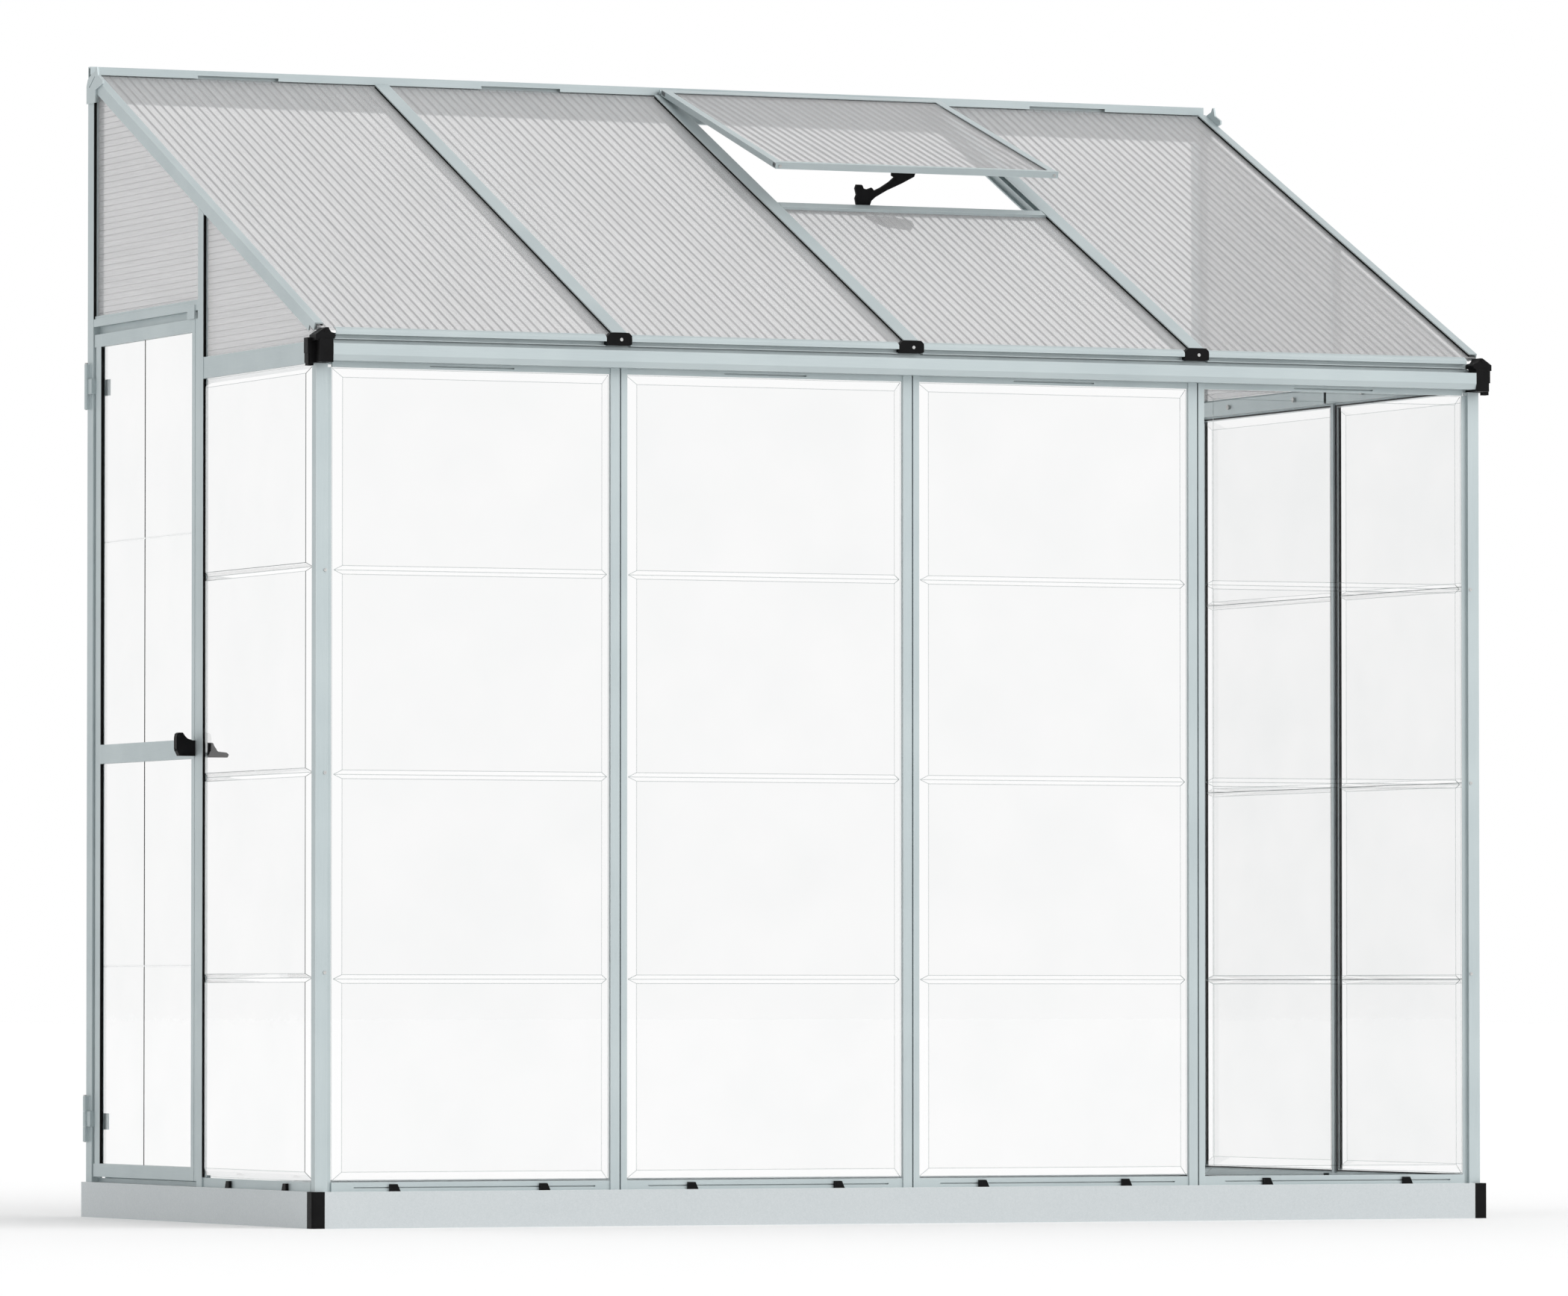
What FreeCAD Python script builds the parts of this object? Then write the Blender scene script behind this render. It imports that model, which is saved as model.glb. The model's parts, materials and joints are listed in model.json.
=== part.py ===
import FreeCAD, Part
import os
from math import cos, radians, sin, tan

# Lean-to greenhouse with an aluminium frame, a hinged gable door and an opening roof vent.
# Lengths are in millimetres. Inside this file x runs right from the left end of the base,
# y runs back from the front of the base and z runs up from the ground.

V = FreeCAD.Vector

# ---------------------------------------------------------------- overall
BAY = 610.0                      # glazing bay
BAYS = 4
BASE_W = 2476.0                  # base, along the wall
BASE_D = 1254.0                  # base, out from the wall
BASE_H = 69.0
SETBACK = 10.0                   # wall plane behind the base face
ORIGIN_X = BASE_W / 2            # part origin: middle of the footprint
ORIGIN_Y = 614.0
WALL_T = 1.6                     # wall of the aluminium extrusions
CLEAR = 0.5                      # play between neighbouring pieces
OVER = 1.0                       # how far a cutting shape runs past the piece it cuts

# ---------------------------------------------------------------- base
BASE_T = 2.0                     # base sheet
BASE_FLANGE = 42.0
CORNER_SIZE = 26.0               # base corner connector, each way
CORNER_WALL = 3.0
CORNER_ROUND = 4.0
TONGUE_T = 8.0
TONGUE_LEN = 34.0
TONGUE_PLAY = 0.3
ANCHOR_HOLE_R = 4.0              # ground anchor holes
ANCHOR_X = (338.0, 2138.0)
ANCHOR_IN = 22.0
CLIP_T = 6.0                     # wedge clips on the base
CLIP_OUTLINE = ((10.0, 0.0), (10.0, 13.5), (-5.0, 13.5), (-11.0, 0.0))
CLIP_GAP = 0.2                   # play between a clip and the rail lip
CLIP_PARTS = (0.25, 0.75)        # where the clips sit along a front bay
CLIP_Y_LEFT = (165.0, 465.0)
CLIP_Y_RIGHT = (165.0, 465.0, 780.0, 1080.0)

# ---------------------------------------------------------------- glazing
PANE_T = 1.2                     # formed glazing sheet
PANE_RECESS = 9.5                # glazing plane behind the frame face
RELIEF = 11.0                    # raised field of a formed pane
BEVEL = 17.0                     # sloping border of the raised field
BEAD = 2.0                       # flat margin around the border
GROOVE_W = 18.0                  # groove between two cells of a pane
GROOVE_D = 9.0
CELLS = 4
PANE_EDGE = 1.0                  # play between a pane's edge and the frame behind it
PANEL_T = 6.0                    # twin-wall sheet
PANEL_SKIN = 0.8
PANEL_RIB = 0.8
ROOF_PITCH = 19.0                # rib spacing in the roof sheets
GABLE_PITCH = 11.7               # rib spacing in the gable sheets
PANEL_KEEP = 0.994               # share of a gable sheet that the flutes reach
SEAL_H = 4.0
SEAL_T = 1.5
SEAL_V0 = 0.8                    # seal strips in the gables, behind the post face
SEAL_V1 = 6.0

# ---------------------------------------------------------------- posts and wall rails
POST_W = 34.0                    # front post face
POST_DEPTH = 30.0
STEM_W = 10.0                    # post behind the glazing
SLOT_FROM = 1.4                  # cover slot in the post face
SLOT_W = 3.0
CORNER_FACE = 23.7               # corner post
CORNER_DEPTH = 21.0
CORNER_FIN = 10.3
CORNER_TOP = 1624.6
REAR_POST_W = 32.0
REAR_POST_DEPTH = 22.0
REAR_POST_TOP = 2206.0
GABLE_POST_W = 28.5
GABLE_POST_Y = 609.0             # front edge of the gable posts
GABLE_STEM_DEPTH = 14.0          # gable posts are shallow behind the glazing
GABLE_STEM_IN = 9.0              # stem set in from the edge of the post face
DOOR_POST_STEM_IN = 11.0         # the same at the post beside the door
SILL_H = 17.5                    # bottom rails
BODY_DROP = 6.0                  # rail body lower than its lip
LIP_BACK = 3.0                   # rail lip behind the post face
FIX_HOLE_R = 3.5                 # wall fixing holes
FIX_Z = (500.0, 1700.0)

EAVE_Z0 = 1618.0                 # eave rail
EAVE_Z1 = 1668.0
EAVE_LIP_H = 46.0
EAVE_DEEPER = 4.0                # eave rail body behind the post depth
POST_TUCK = 22.0                 # front posts run up behind the gutter
SEAM_FIN_Z = 1682.5              # fin of the eave rail behind the eave trims
GABLE_RAIL_Z0 = 1627.0
EAVE_SLOT = 172.0                # drain slots in the eave rail and the wall rail
EAVE_SLOT_H = 3.0
EAVE_SLOT_UP = 4.0
SILL_SLOT_H = 2.5                # long groove in the bottom rails
SILL_SLOT_UP = 6.0
SILL_SLOT_IN = (45.0, 30.0)

TRANSOM_Z0 = 1761.0              # rail above the door
TRANSOM_STEP_Z = 1776.0
TRANSOM_Z1 = 1782.0
TRANSOM_FACE = 0.6
HEADER_Z0 = 1738.0               # door stop behind the top of the door
HEADER_V = (13.5, 21.5)
CATCH_V = -1.5                   # catch plate below the front end of the transom
CATCH_OUTLINE = ((693.0, 1745.5), (693.0, 1757.0), (684.0, 1772.0), (653.0, 1772.0), (653.0, 1745.5))
THRESHOLD_V = (14.0, 30.0)
THRESHOLD_H = 8.0
THRESHOLD_LIP_H = 22.0

# ---------------------------------------------------------------- gutter and eaves
GUTTER_Y = -24.0                 # outer face of the gutter
GUTTER_Z0 = 1629.0
GUTTER_FOLD = 1640.0
GUTTER_Z1 = 1661.0
GUTTER_BACK_Z = 1669.0
GUTTER_T = 1.5
GUTTER_LIP = 4.0
CAP_END = 32.0                   # gutter end cap, measured from the base end
CAP_SIDE = -6.0                  # outer side of the end cap
CAP_Z0 = 1625.0
CAP_NOTCH = 4.0
CAP_NOSE_Y = (-21.0, 12.0)       # nose over the end of the rafter
CAP_NOSE = ((-3.0, 1666.0), (-3.0, 1677.0), (7.0, 1684.0), (17.0, 1690.5), (23.0, 1690.5), (25.0, 1686.0),
            (28.5, 1681.5), (35.0, 1680.0), (37.5, 1676.0), (35.5, 1670.0), (31.6, 1670.0), (31.6, 1666.0))
CAP_SCREW = (17.0, 1686.0)
OUTLET_X = (-11.0, 4.0)          # drain outlet at the side of the end cap
OUTLET_Y = (0.0, 20.0)
OUTLET_Z = (1643.0, 1672.0)
STUB_X = (-9.0, 2.0)
STUB_Y = (3.0, 18.0)
STUB_Z0 = 1619.5
STUB_WALL = 2.0
RAFTER_CAP_SHIFT = -6.0          # rafter caps sit left of the bay line
RAFTER_CAP_Y = -6.0
RAFTER_CAP_DEPTH = 13.0
RAFTER_CAP_HALF = 26.0
RAFTER_CAP = ((-26.0, 1674.0), (-26.0, 1688.0), (-18.0, 1696.0), (20.0, 1696.0), (26.0, 1690.0),
              (26.0, 1674.0), (22.0, 1672.0), (-22.0, 1672.0))
CAP_RECESS_R = 4.2
CAP_RECESS_D = 2.6
CAP_SCREW_X = 5.0                # screw of a rafter cap, right of the cap's middle
CAP_SCREW_Z = 1683.0
TRIM_END = 12.0                  # eave trims stop this far from the gutter ends
TRIM_GAP = 0.4
TRIM = ((-6.0, 1679.0), (-6.0, 1686.0), (-2.0, 1690.0), (6.0, 1693.5), (6.0, 1691.5), (-1.5, 1688.2),
        (-4.5, 1685.3), (-4.5, 1680.5), (10.0, 1680.5), (10.0, 1670.5), (1.0, 1670.5), (1.0, 1672.0),
        (8.5, 1672.0), (8.5, 1679.0))

# ---------------------------------------------------------------- roof
ROOF_DEG = 24.86
ROOF_Y0 = 8.0                    # eaves edge of the roof surface
ROOF_Z0 = 1690.0
RAFTER_W = 30.0
RAFTER_TOP = 6.5
RAFTER_BOTTOM = -32.0
RAFTER_FOOT_W = 16.0
RAFTER_FOOT_T = 3.0
RAFTER_T = 2.4
RAFTER_S0 = 4.0                  # lower end of the middle rafters
RAFTER_NOSE_N = -8.0             # underside of a rafter over the eave rail
SHELF_W = 28.0                   # shelf that carries the sheets
SHELF_T = 2.0
SHELF_GAP = 0.2
END_FLANGE_W = 17.0
END_SHELF_W = 18.0
END_S0 = 12.0                    # lower end of the end rafters
FASCIA_DROP = 19.5
PANEL_S0 = 6.0
PANEL_SIDE = 4.0                 # how far the end sheets reach past the bay line

RAIL_Y = 1240.0                  # wall rail, front lip
RAIL_Z0 = 2208.0
RAIL_Z1 = 2280.0
RAIL_LIP_Z = 2264.0
RAIL_T = 2.5
RAIL_FOOT = 3.0
RAIL_SLOT_H = 6.0
RAIL_END_T = 3.5
RAIL_END_GAP = 0.3
RAIL_END = ((1254.0, 2206.0), (1254.0, 2241.0), (1247.0, 2254.0), (1226.0, 2263.0), (1206.0, 2268.0),
            (1200.0, 2276.0), (1194.0, 2276.0), (1189.0, 2259.0), (1162.0, 2247.0), (1162.0, 2240.0),
            (1203.0, 2231.0), (1205.0, 2206.0))
RAIL_END_GROOVE = ((1206.0, 2256.0), (1238.0, 2236.0), (1239.5, 2238.5), (1207.5, 2258.5))
RAIL_END_GROOVE_D = 1.5

# ---------------------------------------------------------------- roof vent and stay
VENT_BAY = 2                     # third bay from the door
VENT_OVERLAP = 4.0
VENT_LEN = 615.0
VENT_FRAME = 16.0                # face width of the vent frame
VENT_H = 12.0
VENT_UNDER = 7.0                 # underside of the closed vent above the roof surface
VENT_REST_DEG = 6.65
VENT_TOP_S = (30.0, 8.0)         # top rail, measured back from the hinge
VENT_LIP_T = 1.2
VENT_LIP_UP = 2.0
VENT_SHEET_IN = 2.2
VENT_SCREW_IN = 9.0
HINGE_Y = 1232.0
HINGE_N = 12.0
HINGE_BEAD_R = 3.0
HINGE_WEB = 1.6
HOOK_R0 = 3.3
HOOK_R1 = 5.0
HOOK_OPEN_DEG = 110.0
HOOK_AIM_DEG = 15.5
HOOK_ARM_T = 2.8
HOOK_ARM_PLAY = 0.6
SILL_S0 = 724.0
SILL_S1 = 748.0
SILL_N0 = -10.0
SILL_N1 = 6.0
SILL_WALL_T = 1.6
SILL_TOP_T = 2.2
SILL_GAP_N = 1.8
SILL_REBATE = 10.5

STAY_S = 772.0                   # plane of the stay arm, up the slope
STAY_T = 6.0
STAY_X = 1525.0
STAY_N = -6.0
STAY_EYE_R = 10.0
STAY_PIN_R = 3.0
STAY_HOLE_R = 3.05
STAY_HEAD_R = 5.5
STAY_HEAD_T = 2.0
STAY_HEAD_GAP = 1.2
STAY_PLAY = 0.5
BRACKET_T = 4.0
BRACKET = ((-27.0, 7.0), (27.0, 7.0), (24.0, -6.0), (10.0, -14.0), (-10.0, -14.0), (-26.0, -6.0))
# The moulded stay arm: waist, notched elbow and a finger tail, measured from its pin.
STAY_ARM = ((9.0, 4.0), (-9.0, 4.0), (-26.0, -14.0), (-44.0, -27.0), (-56.0, -33.0), (-62.0, -27.0),
            (-72.0, -31.0), (-80.0, -29.0), (-84.0, -22.0), (-97.0, -22.0), (-99.0, -30.0), (-94.0, -43.0),
            (-96.0, -50.0), (-92.0, -62.0), (-82.0, -78.0), (-62.0, -92.0), (-24.0, -106.0), (34.0, -112.0),
            (40.0, -100.0), (34.0, -92.0), (-20.0, -84.0), (-48.0, -72.0), (-62.0, -62.0), (-60.0, -53.0),
            (-52.0, -45.0), (-30.0, -31.0), (2.0, -15.0), (14.0, -8.0))
PEG_X = 1447.0
PEG_R = 4.0
PEG_REACH = 5.0                  # past the back of the sill, clear of the arm
PEG_N = -1.0
PEG_PLATE_HALF = 16.0
PEG_PLATE_T = 2.0
PEG_PLATE_N = (-8.0, 4.0)

# ---------------------------------------------------------------- door
DOOR_X0 = 12.0                   # door leaf, outer face
DOOR_X1 = 22.0
DOOR_Y0 = 640.5
DOOR_Y1 = 1219.0
DOOR_Z0 = 80.0
DOOR_Z1 = 1745.0
LATCH_STILE_W = 33.5
HINGE_STILE_W = 36.0
STILE_STEP_W = 10.5              # set-back strip along the hinge stile
STILE_STEP_D = 2.4
STILE_GROOVE_Y = 655.0           # fine groove down the latch stile
STILE_GROOVE_W = 3.0
STILE_GROOVE_D = 1.0
DOOR_TOP_H = 24.5
DOOR_BOTTOM_H = 25.5
DOOR_MID_Z0 = 895.0
DOOR_MID_Z1 = 932.0
DOOR_PANE_X = 18.6
DOOR_PANE_MID = 950.0            # upright groove of the door panes
LEAF_GROOVE_W = 5.0              # groove in the flat door panes
LEAF_GROOVE_D = 0.7
LEAF_PANE_T = 2.0
LEAF_LEVELS = (1332.0, 495.0)    # level grooves of the upper and lower pane

DOOR_AXIS_X = 3.5
DOOR_AXIS_Y = 1243.0
HINGE_ZS = (193.5, 1643.5)
HINGE_H = 90.0
HINGE_R = 4.0
PIN_R = 2.0
PIN_BORE_R = 2.05
PIN_HEAD_R = 3.5
PIN_HEAD_T = 2.0
KNUCKLE_GAP = 0.3
STRAP_T = 2.5
STRAP_IN = 1.5                   # strap behind the hinge axis
STRAP_EDGE = 1221.0              # leaf turned into the gap beside the door
BRACKET_PLATE_T = 1.5
BRACKET_PLATE_Y = (1232.0, 1252.0)
BRACKET_FOOT = 4.0
INNER_PLATE_T = 4.0
INNER_PLATE_Y = (-20.0, 12.0)    # from the inner edge of the hinge stile
INNER_PLATE_Z = (-20.5, 11.5)    # from the middle of the hinge

HANDLE_Y = 659.0
HANDLE_Z = 914.5
HANDLE_T = 15.0
SPINDLE_R = 5.0
SPINDLE_HOLE_R = 5.05
SOCKET_R = 5.02
HUB_R = 11.0
HUB_X1 = 50.0
GRIP = ((11.5, -15.0), (11.5, 15.0), (6.0, 15.0), (-4.0, 18.5), (-9.0, 23.0), (-14.0, 30.0), (-22.0, 30.0),
        (-25.5, 27.5), (-27.0, 20.0), (-27.0, -2.0), (-21.0, -15.0))
THUMB = ((36.5, -17.5), (36.5, 12.0), (41.0, 4.0), (52.0, 4.0), (58.5, -6.0), (77.0, -8.0), (81.5, -12.0),
         (79.0, -17.5))
GRIP_SCREW_R = 2.6
GRIP_SCREW_DROP = 4.0

# ---------------------------------------------------------------- fasteners
SCREW_R = 3.2
SCREW_H = 1.6
BOLT_R = 5.0
BOLT_H = 5.0
POST_SCREW_Z = (480.0, 855.0, 1236.0)
POST_SCREW_IN = 5.0
BOLT_Y_RIGHT = (180.0, 455.0, 760.0, 1060.0)
BOLT_Y_LEFT = (90.0, 540.0)

# ---------------------------------------------------------------- derived
RIGHT_FACE = BASE_W - SETBACK
MID_X = BASE_W / 2
BAY_X = [MID_X + (i - BAYS / 2) * BAY for i in range(BAYS + 1)]
SLOPE = tan(radians(ROOF_DEG))
HINGE_S = (HINGE_Y - ROOF_Y0 + HINGE_N * sin(radians(ROOF_DEG))) / cos(radians(ROOF_DEG))
SILL_TOP = BASE_H + SILL_H
REAR_POST_Y = BASE_D - REAR_POST_W
GABLE_POST_Y1 = GABLE_POST_Y + GABLE_POST_W
FIN_Y = SETBACK + CORNER_DEPTH + CORNER_FIN


# ---------------------------------------------------------------- building helpers
def box(x0, x1, y0, y1, z0, z1):
    return Part.makeBox(x1 - x0, y1 - y0, z1 - z0, V(x0, y0, z0))


def fuse(shapes):
    shapes = list(shapes)
    body = shapes[0]
    if len(shapes) > 1:
        body = body.fuse(shapes[1:]).removeSplitter()
    return body


def mirror_x(shape):
    return shape.mirror(V(MID_X, 0, 0), V(1, 0, 0))


def group(shapes):
    """Separate solids that share one node."""
    return Part.makeCompound(list(shapes))


def both_ends(shape):
    """A piece and its mirror image at the other end of the greenhouse, as separate solids."""
    return group([shape, mirror_x(shape)])


def rod(radius, start, direction, length):
    return Part.makeCylinder(radius, length, start, direction)


def prism(points, push):
    wire = Part.makePolygon([V(*p) for p in points] + [V(*points[0])])
    return Part.Face(wire).extrude(V(*push))


def biggest(shape):
    return max(shape.Solids, key=lambda solid: solid.Volume)


def wall_box(wall, u0, u1, v0, v1, z0, z1):
    """A box in a wall: u runs along it, v runs in from its outer face."""
    if wall == "front":
        return box(u0, u1, SETBACK + v0, SETBACK + v1, z0, z1)
    if wall == "left":
        return box(SETBACK + v0, SETBACK + v1, u0, u1, z0, z1)
    return box(RIGHT_FACE - v1, RIGHT_FACE - v0, u0, u1, z0, z1)


def wall_tube(wall, u0, u1, v0, v1, z0, z1, run):
    """A hollow rectangular extrusion in a wall, open at both ends of its run."""
    t = WALL_T
    outer = wall_box(wall, u0, u1, v0, v1, z0, z1)
    if run == "z":
        return outer.cut(wall_box(wall, u0 + t, u1 - t, v0 + t, v1 - t, z0 - OVER, z1 + OVER))
    return outer.cut(wall_box(wall, u0 - OVER, u1 + OVER, v0 + t, v1 - t, z0 + t, z1 - t))


def roof_place(shape):
    """Carry a shape from (x, s, n) on the slope, n being normal to it, to its real place."""
    shape.rotate(V(0, 0, 0), V(1, 0, 0), ROOF_DEG)
    shape.translate(V(0, ROOF_Y0, ROOF_Z0))
    return shape


def roof_box(x0, x1, s0, s1, n0, n1):
    return roof_place(box(x0, x1, s0, s1, n0, n1))


def slope_at(y):
    """Distance up the slope of the roof surface at a given y."""
    return (y - ROOF_Y0) / cos(radians(ROOF_DEG))


def roof_z(y, n=0.0):
    """Height at y of a plane parallel to the roof surface, n above it."""
    return ROOF_Z0 + (y - ROOF_Y0) * SLOPE + n / cos(radians(ROOF_DEG))


def under_roof(y):
    """Height just under the fascia of the end rafters."""
    return roof_z(y, -FASCIA_DROP) - CLEAR


def twin_wall(x0, x1, s0, s1, n0):
    """A twin-wall sheet with ribs that run up the slope, in slope coordinates."""
    sheet = box(x0, x1, s0, s1, n0, n0 + PANEL_T)
    count = int((x1 - x0) / ROOF_PITCH)
    pitch = (x1 - x0 - PANEL_RIB) / count
    flutes = []
    for i in range(count):
        start = x0 + PANEL_RIB + i * pitch
        flutes.append(box(start, start + pitch - PANEL_RIB, s0 - OVER, s1 + OVER,
                          n0 + PANEL_SKIN, n0 + PANEL_T - PANEL_SKIN))
    return sheet.cut(group(flutes))


def out_of_plane(wall, shape):
    """Carry a shape from (u, v, z) wall coordinates to the wall it belongs to."""
    if wall == "front":
        shape.translate(V(0, SETBACK, 0))
        return shape
    shape.rotate(V(0, 0, 0), V(0, 0, 1), 90)
    if wall == "left":
        shape = shape.mirror(V(0, 0, 0), V(1, 0, 0))
        shape.translate(V(SETBACK, 0, 0))
        return shape
    shape.translate(V(RIGHT_FACE, 0, 0))
    return shape


def formed_pane(wall, u0, u1, z0, z1, margin0, margin1):
    """A thin sheet pressed out into a raised field that grooves divide into cells."""
    deep = 2 * PANE_RECESS
    f0, f1 = u0 + margin0 + BEAD, u1 - margin1 - BEAD
    g0, g1 = z0 + LIP_BACK + BEAD, z1 - LIP_BACK - BEAD
    low = [(f0, 0, g0), (f1, 0, g0), (f1, 0, g1), (f0, 0, g1)]
    high = [(f0 + BEVEL, -RELIEF, g0 + BEVEL), (f1 - BEVEL, -RELIEF, g0 + BEVEL),
            (f1 - BEVEL, -RELIEF, g1 - BEVEL), (f0 + BEVEL, -RELIEF, g1 - BEVEL)]
    loops = [Part.makePolygon([V(*p) for p in ring + [ring[0]]]) for ring in (low, high)]
    field = Part.makeLoft(loops, True, True)
    cuts = []
    for i in range(1, CELLS):
        z = z0 + (z1 - z0) * i / CELLS
        cuts.append(prism([(f0 - OVER, -RELIEF - OVER, z - GROOVE_W / 2),
                           (f0 - OVER, -RELIEF - OVER, z + GROOVE_W / 2),
                           (f0 - OVER, -RELIEF + GROOVE_D, z)], (f1 - f0 + 2 * OVER, 0, 0)))
    solid = box(u0, u1, 0, deep, z0, z1).fuse(field.cut(group(cuts)))
    shell = solid.cut(solid.translated(V(0, PANE_T, 0)))
    shell = shell.common(box(u0, u1, -RELIEF - OVER, deep - PANE_T, z0, z1)).removeSplitter()
    shell.translate(V(0, PANE_RECESS, 0))
    return out_of_plane(wall, biggest(shell))


def shrink(outline):
    """The outline scaled in slightly about its middle, so that the flutes stay closed."""
    cu = sum(u for u, _ in outline) / len(outline)
    cz = sum(z for _, z in outline) / len(outline)
    return [(cu + (u - cu) * PANEL_KEEP, cz + (z - cz) * PANEL_KEEP) for u, z in outline]


def gable_sheet(wall, outline):
    """A twin-wall sheet cut to a (u, z) outline, with level ribs."""
    sheet = prism([(u, 0, z) for u, z in outline], (0, PANEL_T, 0))
    low = min(z for _, z in outline)
    high = max(z for _, z in outline)
    u0 = min(u for u, _ in outline) - OVER
    u1 = max(u for u, _ in outline) + OVER
    flutes = []
    z = low + PANEL_RIB
    while z < high - PANEL_RIB:
        flutes.append(box(u0, u1, PANEL_SKIN, PANEL_T - PANEL_SKIN, z, z + GABLE_PITCH - PANEL_RIB))
        z += GABLE_PITCH
    inner = sheet.common(group(flutes))
    core = prism([(u, 0, z) for u, z in shrink(outline)], (0, PANEL_T, 0))
    sheet = sheet.cut(inner.common(core))
    sheet.translate(V(0, PANE_RECESS, 0))
    return out_of_plane(wall, sheet)


def save(name, shape):
    placed = shape.copy()
    placed.translate(V(-ORIGIN_X, -ORIGIN_Y, 0))
    placed.exportStep("parts/%s.step" % name)


# ---------------------------------------------------------------- base
def base_channel(x0, x1, outside, inward):
    """A C channel along x: web on the outside, flanges inward, with two anchor holes below."""
    web = sorted((outside, outside + inward * BASE_T))
    flange = sorted((outside, outside + inward * BASE_FLANGE))
    channel = fuse([box(x0, x1, web[0], web[1], 0, BASE_H),
                    box(x0, x1, flange[0], flange[1], 0, BASE_T),
                    box(x0, x1, flange[0], flange[1], BASE_H - BASE_T, BASE_H)])
    for x in ANCHOR_X:
        start = V(x, outside + inward * ANCHOR_IN, -OVER)
        hole = rod(ANCHOR_HOLE_R, start, V(0, 0, 1), BASE_T + 2 * OVER)
        channel = channel.cut(hole)
    return channel


def base_parts():
    c = CORNER_SIZE
    save("base_front", base_channel(c, BASE_W - c, 0, 1))
    save("base_rear", base_channel(BASE_T, BASE_W - BASE_T, BASE_D, -1))
    inner = BASE_FLANGE + CLEAR
    left = fuse([box(0, BASE_T, c, BASE_D, 0, BASE_H),
                 box(0, BASE_FLANGE, inner, BASE_D - inner, 0, BASE_T),
                 box(0, BASE_FLANGE, inner, BASE_D - inner, BASE_H - BASE_T, BASE_H)])
    save("base_sides", both_ends(left))

    inside = BASE_T + TONGUE_PLAY
    z0, z1 = inside, BASE_H - inside
    tongues = [box(c, c + TONGUE_LEN, inside, inside + TONGUE_T, z0, z1),
               box(inside, inside + TONGUE_T, c, c + TONGUE_LEN, z0, z1)]
    hub = box(0, c, 0, c, 0, BASE_H)
    upright = [e for e in hub.Edges if e.CenterOfMass.x < TONGUE_PLAY and e.CenterOfMass.y < TONGUE_PLAY]
    hub = hub.makeFillet(CORNER_ROUND, upright)
    w = CORNER_WALL
    hub = hub.cut(box(w, c - w, w, c - w, -OVER, BASE_H - w))
    front_corner = fuse([hub] + tongues)
    rear_corner = fuse([box(inside, c, inside, c, z0, z1)] + tongues)
    rear_corner = rear_corner.mirror(V(0, BASE_D / 2, 0), V(0, 1, 0))
    pair = [front_corner, rear_corner]
    save("base_corners", group(pair + [mirror_x(one) for one in pair]))


def base_clip(x, y, turn, upright):
    """A wedge clip with one upright side, on the side that the sign of upright names."""
    shape = prism([(upright * u, 0, z) for u, z in CLIP_OUTLINE], (0, CLIP_T, 0))
    shape.rotate(V(0, 0, 0), V(0, 0, 1), turn)
    shape.translate(V(x, y, BASE_H))
    return shape


def clip_parts():
    face = SETBACK + LIP_BACK - CLIP_GAP - CLIP_T
    clips = [base_clip(BAY_X[i] + part * BAY, face, 0, -1)
             for i in range(BAYS) for part in CLIP_PARTS]
    clips += [base_clip(face, y, -90, 1) for y in CLIP_Y_LEFT]
    clips += [base_clip(BASE_W - face, y, 90, -1) for y in CLIP_Y_RIGHT]
    save("base_clips", group(clips))


# ---------------------------------------------------------------- front wall
def front_bays():
    """The clear openings between the faces of the front posts."""
    half = POST_W / 2
    faces = [x + side * half for x in BAY_X[1:-1] for side in (-1, 1)]
    edges = [SETBACK + CORNER_FACE + CORNER_FIN] + faces + [RIGHT_FACE - CORNER_FACE - CORNER_FIN]
    return [(edges[2 * i], edges[2 * i + 1]) for i in range(BAYS)]


def front_post(x):
    """A hollow face with a cover slot, and a narrower stem behind the glazing."""
    half = POST_W / 2
    top = EAVE_Z0 + POST_TUCK
    hood = wall_tube("front", x - half, x + half, 0, PANE_RECESS, BASE_H, top, "z")
    s0 = x + SLOT_FROM
    slot = wall_box("front", s0, s0 + SLOT_W, -OVER, PANE_RECESS - WALL_T, BASE_H - OVER, EAVE_Z1)
    cheeks = wall_box("front", s0 - WALL_T, s0 + SLOT_W + WALL_T, 0, PANE_RECESS, BASE_H, top)
    stem = wall_tube("front", x - STEM_W / 2, x + STEM_W / 2, PANE_RECESS, POST_DEPTH,
                     SILL_TOP - BODY_DROP, EAVE_Z0 + BODY_DROP, "z")
    return fuse([hood.fuse(cheeks).cut(slot), stem])


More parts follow.
